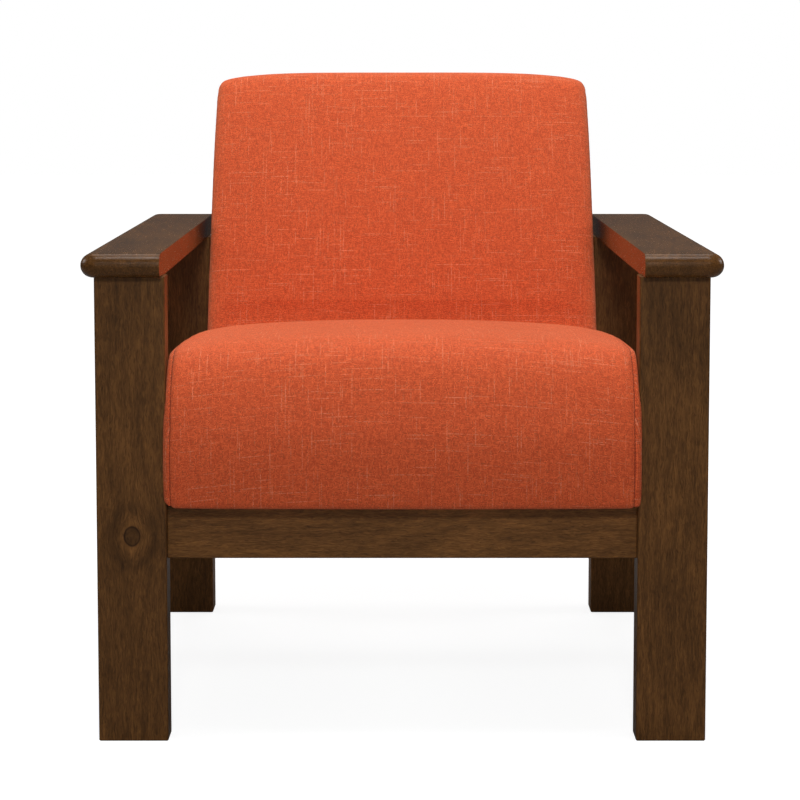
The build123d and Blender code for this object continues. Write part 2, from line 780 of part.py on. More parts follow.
def make_seat_upholstery():
    seat_low = (-seat_half, seat_box_front_y, pad_z)
    seat_high = (seat_half, seat_box_rear_y, pad_top_z)
    keep(block(seat_low, seat_high), "spring_pad")

    hollow_low = (-seat_half - soft_clearance, seat_box_front_y - soft_clearance, rail_top_z)
    hollow_high = (
        seat_half + soft_clearance,
        seat_box_rear_y + soft_clearance,
        pad_top_z + soft_clearance,
    )
    with BuildPart() as foam:
        add(seat_form(skin))
        add(block(hollow_low, hollow_high), mode=Mode.SUBTRACT)
    keep(foam.part, "seat_foam")

    turn_x = half_opening - cover_turn_in
    opening_low = (-turn_x, front_leg_y - seat_front_proud + cover_turn_in, rail_bottom_z)
    opening_high = (turn_x, seat_box_rear_y - cover_turn_in, box_bottom_z)
    with BuildPart() as cover:
        add(seat_form(0.0))
        add(seat_form(cover_thickness), mode=Mode.SUBTRACT)
        add(block(opening_low, opening_high), mode=Mode.SUBTRACT)
        upright_holes(seat_bolt_spots, rail_bottom_z, box_bottom_z, hole_radius)
    keep(cover.part, "seat_cover")

    sheet_x = half_opening - cleat_width - soft_clearance
    sheet_top = rail_top_z - soft_clearance
    sheet_low = (-sheet_x, front_rail_back_y + soft_clearance, sheet_top - dust_cover_thickness)
    sheet_high = (sheet_x, seat_box_rear_y, sheet_top)
    keep(block(sheet_low, sheet_high), "seat_dust_cover")


def make_back_upholstery():
    span = (-back_half, back_half)
    up = (back_frame_low - back_thickness, back_frame_top)
    with BuildPart() as rear_board:
        add(back_block(span, (stile_back, stile_back + back_board_thickness), up))
        split(bisect_by=Plane.XY.offset(box_bottom_z), keep=Keep.TOP)
        spots = [tuple(mouth.origin) for mouth in back_screw_mouths]
        pegs(spots, back_normal, screw_radius, back_thickness, Mode.SUBTRACT)
    keep(rear_board.part, "back_rear_board")

    wide = (-back_half - soft_clearance, back_half + soft_clearance)
    deep = (webbing_front - soft_clearance, 2 * back_thickness)
    tall = (up[0], back_frame_top + soft_clearance)
    with BuildPart() as foam:
        add(back_form(skin))
        add(back_block(wide, deep, tall), mode=Mode.SUBTRACT)
    keep(foam.part, "back_foam")

    foot_front_y = meeting_y - (meeting_z - rail_top_z) * lean
    foot_rear_y = foot_front_y + back_thickness / lean_cos
    turn_x = back_bottom_half_width - cover_turn_in
    opening_low = (-turn_x, foot_front_y + back_turn_in, rail_bottom_z)
    opening_high = (turn_x, foot_rear_y - back_turn_in, box_bottom_z)
    with BuildPart() as cover:
        add(back_form(0.0))
        add(back_form(cover_thickness), mode=Mode.SUBTRACT)
        add(block(opening_low, opening_high), mode=Mode.SUBTRACT)
        upright_holes(back_bolt_spots, rail_bottom_z, box_bottom_z, hole_radius)
        pegs(spots, back_normal, screw_radius, back_thickness, Mode.SUBTRACT)
    keep(cover.part, "back_cover")


def make_back_frame():
    """Two leaning stiles with three rails, the straps on their face and the board behind."""
    stile_inner = back_half - stile_width
    depth = (stile_front, stile_back)
    rail_top_up = back_frame_top - back_rail_height
    with BuildPart() as stile:
        add(back_block((stile_inner, back_half), depth, (back_frame_low - stile_back, rail_top_up)))
        split(bisect_by=Plane.XY.offset(box_bottom_z), keep=Keep.TOP)
        upright_holes(back_bolt_spots, box_bottom_z, box_bottom_z + insert_length, insert_radius)
        top = box_bottom_z + back_bolt_reach + dowel_end_gap
        upright_holes(back_bolt_spots, box_bottom_z, top, hole_radius)
    keep_pair(stile.part, "back_stile")

    rails = {
        "back_top_rail": (back_half, rail_top_up),
        "back_middle_rail": (stile_inner, upper_rail_up - back_rail_height / 2),
        "back_bottom_rail": (stile_inner, back_frame_low + stile_front * lean),
    }
    for name, (half, low) in rails.items():
        with BuildPart() as rail:
            add(back_block((-half, half), depth, (low, low + back_rail_height)))
            length = 2 * (upper_rail_rear - stile_back + back_screw_reach + dowel_end_gap)
            spots = [tuple(mouth.origin) for mouth in back_screw_mouths]
            pegs(spots, back_normal, screw_radius, length, Mode.SUBTRACT)
        keep(rail.part, name)

    first = back_frame_low + back_rail_height + webbing_width
    step = (rail_top_up - webbing_width - first) / (webbing_count - 1)
    with BuildPart() as webbing:
        for index in range(webbing_count):
            low = first + index * step
            depth = (webbing_front, stile_front)
            add(back_block((-back_half, back_half), depth, (low, low + webbing_width)))
    keep(webbing.part, "back_webbing")


if __name__ == "__main__":
    os.makedirs("parts", exist_ok=True)
    keep_pair(leg(front_leg_y, front_leg_depth), "front_leg")
    keep_pair(leg(rear_leg_y, rear_leg_depth), "rear_leg")
    keep_pair(arm(), "arm")
    make_front_rail()
    make_side_rail()
    make_rear_lower_rail()
    make_rear_upper_rail()
    make_cleat()
    make_corner_blocks()
    make_dowels()
    make_fasteners()
    make_seat_frame()
    make_springs()
    make_seat_upholstery()
    make_back_frame()
    make_back_upholstery()
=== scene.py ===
import math

import bmesh
import bpy
import numpy as np
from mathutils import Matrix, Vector


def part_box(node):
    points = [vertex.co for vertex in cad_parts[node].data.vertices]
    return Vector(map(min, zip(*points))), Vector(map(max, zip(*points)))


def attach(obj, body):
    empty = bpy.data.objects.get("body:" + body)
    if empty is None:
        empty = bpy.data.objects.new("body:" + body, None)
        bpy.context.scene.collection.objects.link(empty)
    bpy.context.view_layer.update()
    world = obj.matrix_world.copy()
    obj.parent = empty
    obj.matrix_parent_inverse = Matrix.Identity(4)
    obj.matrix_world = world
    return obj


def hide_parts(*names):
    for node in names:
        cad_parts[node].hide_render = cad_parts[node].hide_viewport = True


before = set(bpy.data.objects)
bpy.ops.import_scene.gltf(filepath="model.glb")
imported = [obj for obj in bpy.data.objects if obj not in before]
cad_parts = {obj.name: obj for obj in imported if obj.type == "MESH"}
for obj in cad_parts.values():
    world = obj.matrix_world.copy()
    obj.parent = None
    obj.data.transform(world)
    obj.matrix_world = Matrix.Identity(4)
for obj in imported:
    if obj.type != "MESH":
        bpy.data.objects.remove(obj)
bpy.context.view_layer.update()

# The looks of an upholstered armchair, built round its CAD frame. X runs across the chair, -Y is
# the front and +Z is up. Lengths are in metres, lamps in watts and colours in linear light.

X, Y, Z = 0, 1, 2

# Places read from the frame
seat_low, seat_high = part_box("seat_cover")
back_low, back_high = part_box("back_cover")
front_leg_low, front_leg_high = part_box("front_leg_right")
rear_leg_low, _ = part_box("rear_leg_right")
dust_low, dust_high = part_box("seat_dust_cover")
soft_gap = 0.0003
seat_half = front_leg_low[X] - soft_gap
back_half = back_high[X]

# Form of the seat
seat_pitch = math.radians(4.0)
seat_front_lean = 0.07  # how far the front pulls out as it rises, as a share of its height
seat_front_pull = 0.62  # how high the front stays upright, as a share of its height
seat_roll_depth = 0.076
seat_roll_start = 0.15  # where the roll leaves the front, as a share of its depth
seat_roll_fall = 0.03
seat_crown = 0.005
seat_left_radius = 0.014
seat_right_radius = 0.009
seat_side_drop = 0.013
seat_side_power = 2.5
seat_squeeze = 0.003  # how much wider the seat is than the room between the legs
cover_tuck = 0.005

# Form of the back
recline = math.radians(22.0)
back_thickness = 0.098
back_taper = 0.009
back_bulge = math.radians(9.0)
back_front_radius = 0.026
back_rear_radius = 0.014
back_side_radius = 0.013
back_side_drop = 0.012
back_side_power = 5
back_edge_width = 0.036
back_edge_fall = 0.011
back_edge_reach = 0.06  # how far behind the face its edges' fall has faded away
back_room = 0.02  # how far the face may stand out before the plane of the meeting
back_room_low = 0.005
back_room_high = 0.08

# Where the seat meets the back
meeting_depth = 0.485
meeting_fall = 0.0341
meeting_rise = 0.003
meeting_y = front_leg_low[Y] + meeting_depth
meeting_z = seat_high[Z] - meeting_fall + meeting_rise

# Room beside the seat, which swells a little before the front legs and between the legs
front_room = 0.0028
front_room_start = 0.006
front_room_end = 0.001
side_room = 0.002
side_room_start = 0.002
side_room_full = 0.05

# Meshes and simulation of the padded covers
flat_stations = 20
round_stations = 6
block_size = 5000  # points set against the profile at a time
voxel = 0.006
sim_frames = 20
sim_quality = 5
sim_pressure = 4.0
held_height = 0.002  # how much of each cover is held at its foot
most_swell = 0.0030
most_sink = 0.0008
rise_rounds = 30  # how often the rise is evened before its cap, and the push after it
push_rounds = 40

# Seams between the panels: how far round the side's radius each lies, its groove and painted shade
seat_seam_turn = math.radians(40.0)
back_seam_turn = math.radians(75.0)
seam_depth = 0.0016
seam_width = 0.0022
seam_shade_line_width = (0.0004, 0.0015)
seam_shade_line_least = 0.35
stitch_pitch = 0.0042
stitch_share = 0.6

# Threads of the linen
thread_pitch = 0.0013
yarn_change = 110.0  # how fast a yarn's lightness changes along it
row_stride = 7.31  # keeps the noise of one row apart from the next
slub_pitch = 0.0021
slub_change = 20.0
slub_least = 0.58
slub_fade = 0.14
weft_sag = 0.26  # how far the seat's weft lines drop at the sides, times the width squared
top_yarn_share, fleck_share, fuzz_share, ridge_share = 0.36, 0.16, 0.10, 0.32

# Figure of the walnut: how fine each layer is across the grain, and its scale along it
wander_grain = (34.0, 0.5)
flow_grain = (13.0, 0.14)
fibre_grain = (800.0, 0.08)
streak_grain = (330.0, 0.06)
pore_grain = (1050.0, 0.09)
cloud_grain = (15.0, 0.5)
wander_reach = 0.004
ring_count = 13.0
ring_share, fibre_share, streak_share, cloud_share = 0.14, 0.50, 0.24, 0.26

# The knot in one front leg: its X and Z, half its height and how much narrower it is than high
leg_knot = (-0.3015, 0.2335, 0.0112)
knot_narrowness = 1.25
knot_pull = 0.85
knot_pull_fade = 0.16
# Its rings, in knot radii: where each lies, how far its outer and full part reach, its factor
knot_rings = (
    (0.0, 2.4, 1.2, 1.35),
    (2.9, 0.9, 0.1, 0.76),
    (0.0, 1.05, 0.80, 0.46),
    (0.95, 0.18, 0.02, 0.30),
)

# The sheet under the seat
sheet_columns, sheet_rows = 60, 50
sheet_sag = 0.004
sheet_sag_power = 0.6
sheet_lift = 0.0005

# Colours
linen_deep = (0.39, 0.036, 0.012)
linen_middle = (0.71, 0.101, 0.030)
linen_light = (0.97, 0.186, 0.060)
linen_fleck = (0.16, 0.026, 0.012)
linen_slub = (0.98, 0.45, 0.26)
linen_shade = (0.50, 0.050, 0.016)
# The seams' colour is painted shade in their creases
seam_shade_colour = (0.25, 0.030, 0.012)
linen_sheen = (1.0, 0.66, 0.36)
stained_brown = (0.114, 0.048, 0.013)
pale_timber = (0.62, 0.44, 0.26)
pale_beech = (0.70, 0.50, 0.32)
zinc_grey = (0.62, 0.62, 0.60)
spring_grey = (0.30, 0.30, 0.31)
dust_tones = ((0.008, 0.008, 0.009), (0.028, 0.028, 0.030))
board_tones = ((0.16, 0.09, 0.045), (0.32, 0.20, 0.11))
white = (1.0, 1.0, 1.0)
floor_grey = (0.32, 0.32, 0.32)

# Light and camera
lamps = {
    # place, target, size across and up, power
    "key": ((0.0, -0.5, 2.9), (0.0, 0.0, 0.4), (1.3, 1.1), 52.0),
    "rear_top": ((0.0, 1.6, 2.9), (0.0, 0.0, 0.4), (2.2, 0.9), 20.0),
    "front": ((0.0, -2.9, 1.8), (0.0, 0.0, 0.4), (0.5, 0.4), 24.0),
    "low_front": ((0.0, -3.3, 0.8), (0.0, 0.0, 0.2), (0.6, 0.3), 6.5),
    "left": ((-2.8, 0.5, 1.6), (0.0, 0.0, 0.3), (0.9, 0.9), 19.0),
    "right": ((2.8, 0.5, 1.6), (0.0, 0.0, 0.3), (0.9, 0.9), 19.0),
}
room_light = 0.10
room_in_gloss = 0.10
floor_reach = 14.0
floor_fade = (0.7, 2.0)
floor_glow = 0.86
floor_far_glow = 0.16
camera_place = (-0.0016, -2.920, 0.750)
camera_drop = 5.30  # degrees below level
camera_lens, camera_film = 104.95, 36.0  # in millimetres
camera_shift = (-0.001, -0.14)


def new_object(name, data):
    thing = bpy.data.objects.new(name, data)
    bpy.context.scene.collection.objects.link(thing)
    return thing


# Profiles of the cushions


def lean_point(up, behind):
    """Y and Z of a point up the slope and behind the back's front face."""
    y = meeting_y + up * math.sin(recline) + behind * math.cos(recline)
    z = meeting_z + up * math.cos(recline) - behind * math.sin(recline)
    return (y, z)


def slope_at(z, behind):
    """How far up the slope a point behind the back's front face lies at this height."""
    return (z - meeting_z + behind * math.sin(recline)) / math.cos(recline)


def arc_points(start, through, end, count):
    """Points of the arc through three places, its start left out."""
    (ax, ay), (bx, by), (cx, cy) = start, through, end
    d = 2 * (ax * (by - cy) + bx * (cy - ay) + cx * (ay - by))
    a2, b2, c2 = ax * ax + ay * ay, bx * bx + by * by, cx * cx + cy * cy
    ux = (a2 * (by - cy) + b2 * (cy - ay) + c2 * (ay - by)) / d
    uy = (a2 * (cx - bx) + b2 * (ax - cx) + c2 * (bx - ax)) / d
    radius = math.hypot(ax - ux, ay - uy)
    first = math.atan2(ay - uy, ax - ux)
    middle = math.atan2(by - uy, bx - ux)
    last = math.atan2(cy - uy, cx - ux)
    turn = (last - first) % math.tau
    if (middle - first) % math.tau > turn:
        turn -= math.tau
    angles = [first + turn * (i + 1) / count for i in range(count)]
    return [(ux + radius * math.cos(a), uy + radius * math.sin(a)) for a in angles]


def line_points(start, end, count):
    """Evenly spaced points of a straight stretch, its start left out."""
    shares = [(i + 1) / count for i in range(count)]
    return [
        (start[0] + (end[0] - start[0]) * s, start[1] + (end[1] - start[1]) * s) for s in shares
    ]


def curve_points(start, first, last, end, count):
    """Points of the cubic curve between two places, its start left out."""
    points = []
    for i in range(1, count + 1):
        t = i / count
        shares = ((1 - t) ** 3, 3 * t * (1 - t) ** 2, 3 * t * t * (1 - t), t**3)
        places = zip(start, first, last, end)
        points.append(tuple(sum(s * v for s, v in zip(shares, place)) for place in places))
    return points


def seat_profile(draw, drop):
    """Side profile of the seat, from its rear low corner round by the front."""
    bottom_z = seat_low[Z] + min(draw, cover_tuck)
    top_z = seat_high[Z] - drop - draw
    height = top_z - bottom_z
    low = (0.0, bottom_z)
    low_pull = (-seat_front_lean * height, bottom_z + seat_front_pull * height)
    top = (seat_roll_depth, top_z)
    top_pull = (seat_roll_depth * seat_roll_start, top_z + seat_roll_fall * seat_roll_depth)
    front = curve_points(low, low_pull, top_pull, top, count=30)
    shift = seat_low[Y] + draw - min(y for y, z in front)
    front = [(y + shift, z) for y, z in front]
    front_low, rolled = (shift, bottom_z), front[-1]
    lean = math.tan(recline)
    rear_y = meeting_y - soft_gap / math.cos(recline)
    pitch = math.tan(seat_pitch)
    run = (rear_y + (top_z - meeting_z) * lean - rolled[0]) / (1 + pitch * lean)
    rear_top = (rolled[0] + run, top_z - run * pitch)
    rear_low = (rear_y - (meeting_z - bottom_z) * lean, bottom_z)
    crown = (
        (rolled[0] + rear_top[0]) / 2 + seat_crown * math.sin(seat_pitch),
        (rolled[1] + rear_top[1]) / 2 + seat_crown * math.cos(seat_pitch),
    )
    points = line_points(rear_low, front_low, count=40)
    points += front
    points += arc_points(rolled, crown, rear_top, count=40)
    points += line_points(rear_top, rear_low, count=16)
    return points


def back_profile(draw, drop):
    """Side profile of the back, from its rear low corner round by the front and the top."""
    radius = back_front_radius
    rear_radius = back_rear_radius
    rear = back_thickness
    bottom_z = back_low[Z] + min(draw, cover_tuck)
    middle = draw + radius * math.cos(back_bulge)
    top_z = back_high[Z] - draw - drop
    roll_up = slope_at(top_z - radius, middle)
    start_up = roll_up + radius * math.sin(back_bulge)
    sagitta = start_up / 2 * math.tan(back_bulge / 2)
    turn = (math.radians(270.0) - back_bulge) / 2
    top_up = roll_up + radius
    half_right = math.radians(45.0)
    rear_low = lean_point(slope_at(bottom_z, rear), rear)
    front_low = lean_point(slope_at(bottom_z, draw), draw)
    meeting = lean_point(0.0, draw)
    bulge = lean_point(start_up / 2, draw - sagitta)
    start = lean_point(start_up, draw)
    roll = lean_point(roll_up + radius * math.sin(turn), middle + radius * math.cos(turn))
    top = lean_point(top_up, middle)
    top_rear = lean_point(top_up, rear - rear_radius)
    turned = lean_point(
        top_up - rear_radius + rear_radius * math.cos(half_right),
        rear - rear_radius + rear_radius * math.sin(half_right),
    )
    rear_top = lean_point(top_up - rear_radius, rear)
    points = line_points(rear_low, front_low, count=9)
    points += line_points(front_low, meeting, count=14)
    points += arc_points(meeting, bulge, start, count=30)
    points += arc_points(start, roll, top, count=9)
    points += line_points(top, top_rear, count=6)
    points += arc_points(top_rear, turned, rear_top, count=6)
    points += line_points(rear_top, rear_low, count=42)
    return points


def not_narrowed(z):
    return z * 0.0


def back_narrowing(z):
    """By what share the back is narrower at this height than at its foot."""
    return (z - back_low[Z]) / (back_high[Z] - back_low[Z]) * back_taper / back_half


def side_stations(half, radius):
    """Places from the middle to one side, each with how far the form draws in there."""
    inner = half - radius
    stations = [(inner * i / flat_stations, 0.0) for i in range(flat_stations + 1)]
    for i in range(1, round_stations + 1):
        turn = math.radians(90.0 * i / round_stations)
        stations.append((inner + radius * math.sin(turn), radius * (1 - math.cos(turn))))
    return stations


def cushion_mesh(name, profile, half, radii, drop, power, narrowing):
    """A closed crowned form, skinned through the profile's cross sections from side to side."""
    left, right = (side_stations(half, radius) for radius in radii)
    stations = [(-x, draw) for x, draw in reversed(left[1:])] + right
    mesh = bmesh.new()
    rings = []
    for x, draw in stations:
        section = profile(draw, drop * abs(x / half) ** power)
        rings.append([mesh.verts.new((x * (1 - narrowing(z)), y, z)) for y, z in section])
    for ring, other in zip(rings, rings[1:]):
        for i in range(len(ring)):
            mesh.faces.new((ring[i - 1], ring[i], other[i], other[i - 1]))
    mesh.faces.new(rings[0])
    mesh.faces.new(list(reversed(rings[-1])))
    bmesh.ops.recalc_face_normals(mesh, faces=mesh.faces)
    data = bpy.data.meshes.new(name)
    mesh.to_mesh(data)
    mesh.free()
    return new_object(name, data)


# Work on meshes


def applied(piece):
    """Turn the piece's modifiers into its mesh."""
    graph = bpy.context.evaluated_depsgraph_get()
    old = piece.data
    piece.data = bpy.data.meshes.new_from_object(piece.evaluated_get(graph))
    piece.data.name = piece.name
    piece.modifiers.clear()
    bpy.data.meshes.remove(old)


def remesh(piece, size):
    modifier = piece.modifiers.new("Remesh", "REMESH")
    modifier.mode = "VOXEL"
    modifier.voxel_size = size
    applied(piece)


def smooth(data):
    for face in data.polygons:
        face.use_smooth = True


def subdivide(piece, levels):
    modifier = piece.modifiers.new("Subdivision", "SUBSURF")
    modifier.levels = levels
    modifier.render_levels = levels
    applied(piece)
    smooth(piece.data)


def points_of(piece):
    points = np.zeros(len(piece.data.vertices) * 3)
    piece.data.vertices.foreach_get("co", points)
    return points.reshape(-1, 3)


def move_points(piece, points):
    piece.data.vertices.foreach_set("co", points.ravel())
    piece.data.update()


def normals_of(piece):
    normals = np.zeros(len(piece.data.vertices) * 3)
    piece.data.vertex_normals.foreach_get("vector", normals)
    return normals.reshape(-1, 3)


def evened(piece, values, rounds):
    """Each point's value, averaged again and again with those of its neighbours."""
    ends = np.zeros(len(piece.data.edges) * 2, int)
    piece.data.edges.foreach_get("vertices", ends)
    first, last = ends.reshape(-1, 2).T
    count = len(values)
    near = np.bincount(first, minlength=count) + np.bincount(last, minlength=count)
    for _ in range(rounds):
        total = np.bincount(first, values[last], count) + np.bincount(last, values[first], count)
        values = (values + total / np.maximum(near, 1)) / 2
    return values


def swell(piece, held_z):
    """Blow the cover up by a cloth simulation, held below held_z and capped both ways."""
    start = points_of(piece)
    outward = normals_of(piece)
    group = piece.vertex_groups.new(name="held")
    group.add([int(i) for i in np.flatnonzero(start[:, Z] < held_z)], 1.0, "REPLACE")
    cloth = piece.modifiers.new("Cloth", "CLOTH")
    cloth.settings.quality = sim_quality
    cloth.settings.use_pressure = True
    cloth.settings.uniform_pressure_force = sim_pressure
    cloth.settings.effector_weights.gravity = 0.0
    cloth.settings.vertex_group_mass = group.name
    cloth.collision_settings.use_self_collision = False
    cloth.point_cache.frame_start = 1
    cloth.point_cache.frame_end = sim_frames
    scene = bpy.context.scene
    for step in range(1, sim_frames + 1):
        scene.frame_set(step)
    graph = bpy.context.evaluated_depsgraph_get()
    blown = piece.evaluated_get(graph).to_mesh()
    points = np.zeros(len(blown.vertices) * 3)
    blown.vertices.foreach_get("co", points)
    rise = ((points.reshape(-1, 3) - start) * outward).sum(1)
    rise = evened(piece, rise, rise_rounds)
    most = np.where(rise > 0, most_swell, most_sink)
    push = evened(piece, most * np.tanh(rise / most), push_rounds)
    piece.modifiers.clear()
    piece.vertex_groups.clear()
    move_points(piece, start + outward * push[:, None])
    scene.frame_set(1)


def store(piece, name, values):
    """Keep a number, or a vector, for each point of the mesh."""
    kind = "FLOAT" if values.ndim == 1 else "FLOAT_VECTOR"
    kept = piece.data.attributes.new(name, kind, "POINT")
    key = "value" if values.ndim == 1 else "vector"
    kept.data.foreach_set(key, values.astype(np.float32).ravel())


def read(piece, name):
    values = np.zeros(len(piece.data.vertices))
    piece.data.attributes[name].data.foreach_get("value", values)
    return values


def lay_cloth(piece, profile, half, radius, seam_turn, sag, narrowing):
    """Store where each point lies on the main panel, on the side panel and from their seam."""
    points = points_of(piece)
    outline = np.array(profile(0.0, 0.0))
    steps = np.linalg.norm(np.diff(outline, axis=0, prepend=outline[-1:]), axis=1)
    run = np.cumsum(steps)
    nearest = np.zeros(len(points), int)
    for first in range(0, len(points), block_size):
        block = points[first : first + block_size, None, 1:] - outline[None]
        nearest[first : first + block_size] = np.argmin((block**2).sum(2), axis=1)
    after = (nearest + 1) % len(outline)
    before = nearest - 1
    along = outline[after] - outline[before]
    along /= np.linalg.norm(along, axis=1, keepdims=True)
    offset = ((points[:, 1:] - outline[nearest]) * along).sum(1)
    inner = half - radius
    width = np.abs(points[:, X]) / (1 - narrowing(points[:, Z]))
    beyond = np.clip((width - inner) / radius, 0.0, 1.0)
    across = np.minimum(width, inner) + radius * np.arcsin(beyond)
    weft = run[nearest] + offset + sag * across**2
    main = np.stack([np.sign(points[:, X]) * across, weft, across * 0], 1)
    store(piece, "main_panel", main)
    store(piece, "side_panel", points[:, [Y, Z, X]])
    store(piece, "seam", across - (inner + radius * seam_turn))


def press_seams(piece):
    """Draw the cover in along its seams."""
    away = read(piece, "seam")
    depth = seam_depth * np.exp(-((away / seam_width) ** 2))
    move_points(piece, points_of(piece) - normals_of(piece) * depth[:, None])


def smooth_share(values, low, high):
    """0 at low, 1 at high and beyond, and a smooth change between them."""
    share = np.clip((values - low) / (high - low), 0.0, 1.0)
    return share * share * (3 - 2 * share)


def keep_clear_of_legs(points):
    """Hold the seat's sides inside the legs and let them swell a little beside and before them."""
    y = points[:, Y]
    front_y, inner_y, rear_y = front_leg_low[Y], front_leg_high[Y], rear_leg_low[Y]
    before = 1 - smooth_share(y, front_y - front_room_start, front_y - front_room_end)
    behind = smooth_share(y, inner_y + side_room_start, inner_y + side_room_full)
    ahead = 1 - smooth_share(y, rear_y - side_room_full, rear_y - side_room_start)
    limit = seat_half + front_room * before + side_room * behind * ahead
    points[:, X] = np.clip(points[:, X], -limit, limit)


def ahead_of_back(points):
    """How far each point lies ahead of the plane where the seat meets the back."""
    y = points[:, Y] - meeting_y
    z = points[:, Z] - meeting_z
    return z * math.sin(recline) - y * math.cos(recline)


def push_back(points, amount):
    """Move each point backwards, square to the back's front face."""
    points[:, Y] += amount * math.cos(recline)
    points[:, Z] -= amount * math.sin(recline)


def seat_cushion(cloth):
    """The seat: one padded cover over its box, with a panel let in at each side."""
    piece = cushion_mesh(
        "seat_cushion",
        seat_profile,
        seat_half + seat_squeeze,
        (seat_left_radius, seat_right_radius),
        seat_side_drop,
        seat_side_power,
        not_narrowed,
    )
    remesh(piece, voxel)
    lay_cloth(
        piece,
        seat_profile,
        seat_half,
        seat_left_radius,
        seat_seam_turn,
        weft_sag,
        not_narrowed,
    )
    swell(piece, seat_low[Z] + held_height)
    subdivide(piece, 1)
    points = points_of(piece)
    keep_clear_of_legs(points)
    points[:, Z] = np.maximum(points[:, Z], seat_low[Z])
    push_back(points, np.minimum(ahead_of_back(points) - soft_gap, 0.0))
    move_points(piece, points)
    press_seams(piece)
    piece.data.materials.append(cloth)
    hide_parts("seat_cover", "seat_foam", "spring_pad")
    return piece


def back_cushion(cloth):
    """The back: one padded cover over its frame, a little narrower at the top."""
    piece = cushion_mesh(
        "back_cushion",
        back_profile,
        back_half,
        (back_side_radius, back_side_radius),
        back_side_drop,
        back_side_power,
        back_narrowing,
    )
    remesh(piece, voxel)
    lay_cloth(
        piece,
        back_profile,
        back_half,
        back_side_radius,
        back_seam_turn,
        0.0,
        back_narrowing,
    )
    swell(piece, back_low[Z] + held_height)
    subdivide(piece, 1)
    points = points_of(piece)
    points[:, Z] = np.maximum(points[:, Z], back_low[Z])
    points[:, X] = np.clip(points[:, X], -back_half, back_half)
    room = smooth_share(points[:, Z], meeting_z - back_room_low, meeting_z + back_room_high)
    push_back(points, np.maximum(ahead_of_back(points) - back_room * room, 0.0))
    near_side = 1 - (back_half - np.abs(points[:, X])) / back_edge_width
    near_face = 1 - smooth_share(-ahead_of_back(points), 0.0, back_edge_reach)
    push_back(points, back_edge_fall * np.clip(near_side, 0.0, 1.0) ** 2 * near_face)
    push_back(points, -np.maximum(-ahead_of_back(points) - back_thickness, 0.0))
    move_points(piece, points)
    press_seams(piece)
    piece.data.materials.append(cloth)
    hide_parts("back_cover", "back_foam", "back_webbing")
    return piece


# Nodes of the materials


def new_material(name, roughness):
    material = bpy.data.materials.new(name)
    material.use_nodes = True
    tree = material.node_tree
    tree.nodes.clear()
    output = tree.nodes.new("ShaderNodeOutputMaterial")
    shader = tree.nodes.new("ShaderNodeBsdfPrincipled")
    tree.links.new(shader.outputs[0], output.inputs["Surface"])
    shader.inputs["Roughness"].default_value = roughness
    return material, tree, shader


def put(tree, source, socket):
    """Link a node's output to a socket, or set the socket to a plain value."""
    if isinstance(source, bpy.types.NodeSocket):
        tree.links.new(source, socket)
    else:
        socket.default_value = source


def calc(tree, operation, first, second=0.0):
    node = tree.nodes.new("ShaderNodeMath")
    node.operation = operation
    put(tree, first, node.inputs[0])
    put(tree, second, node.inputs[1])
    return node.outputs[0]


def distance_from(tree, value, middle):
    return calc(tree, "ABSOLUTE", calc(tree, "SUBTRACT", value, middle))


def weighted_sum(tree, *parts):
    """The sum of values, each times its weight, from (value, weight) parts."""
    total, *others = [calc(tree, "MULTIPLY", value, weight) for value, weight in parts]
    for other in others:
        total = calc(tree, "ADD", total, other)
    return total


def step_between(tree, value, low, high):
    """0 at low, 1 at high and beyond, and a smooth change between them."""
    node = tree.nodes.new("ShaderNodeMapRange")
    node.interpolation_type = "SMOOTHSTEP"
    put(tree, value, node.inputs["Value"])
    node.inputs["From Min"].default_value = low
    node.inputs["From Max"].default_value = high
    return node.outputs["Result"]


def combined(tree, x, y, z=0.0):
    node = tree.nodes.new("ShaderNodeCombineXYZ")
    for value, socket in zip((x, y, z), node.inputs):
        put(tree, value, socket)
    return node.outputs[0]


def parts_of(tree, vector):
    node = tree.nodes.new("ShaderNodeSeparateXYZ")
    put(tree, vector, node.inputs[0])
    return node.outputs[0], node.outputs[1], node.outputs[2]


def length_of(tree, vector):
    node = tree.nodes.new("ShaderNodeVectorMath")
    node.operation = "LENGTH"
    put(tree, vector, node.inputs[0])
    return node.outputs["Value"]


def place_of(tree):
    return tree.nodes.new("ShaderNodeTexCoord").outputs["Object"]


def attribute(tree, name):
    node = tree.nodes.new("ShaderNodeAttribute")
    node.attribute_name = name
    return node


def scaled(tree, vector, scale, shift=(0.0, 0.0, 0.0)):
    node = tree.nodes.new("ShaderNodeMapping")
    put(tree, vector, node.inputs["Vector"])
    node.inputs["Scale"].default_value = scale
    node.inputs["Location"].default_value = shift
    return node.outputs[0]


def noise_node(tree, vector, scale=1.0, detail=2.0, roughness=0.5, distortion=0.0):
    node = tree.nodes.new("ShaderNodeTexNoise")
    put(tree, vector, node.inputs["Vector"])
    node.inputs["Scale"].default_value = scale
    node.inputs["Detail"].default_value = detail
    node.inputs["Roughness"].default_value = roughness
    node.inputs["Distortion"].default_value = distortion
    return node


def noise(tree, vector, **settings):
    return noise_node(tree, vector, **settings).outputs[0]


def tones(tree, value, *stops):
    """A colour for each share of the value, from (share, colour) stops."""
    node = tree.nodes.new("ShaderNodeValToRGB")
    put(tree, value, node.inputs[0])
    ramp = node.color_ramp
    for index, (share, colour) in enumerate(stops):
        stop = ramp.elements[index] if index < 2 else ramp.elements.new(share)
        stop.position = share
        stop.color = (*colour, 1.0)
    return node.outputs[0]


def chosen(tree, share, first, second):
    """A number between two others."""
    node = tree.nodes.new("ShaderNodeMix")
    put(tree, share, node.inputs[0])
    put(tree, first, node.inputs[2])
    put(tree, second, node.inputs[3])
    return node.outputs[0]


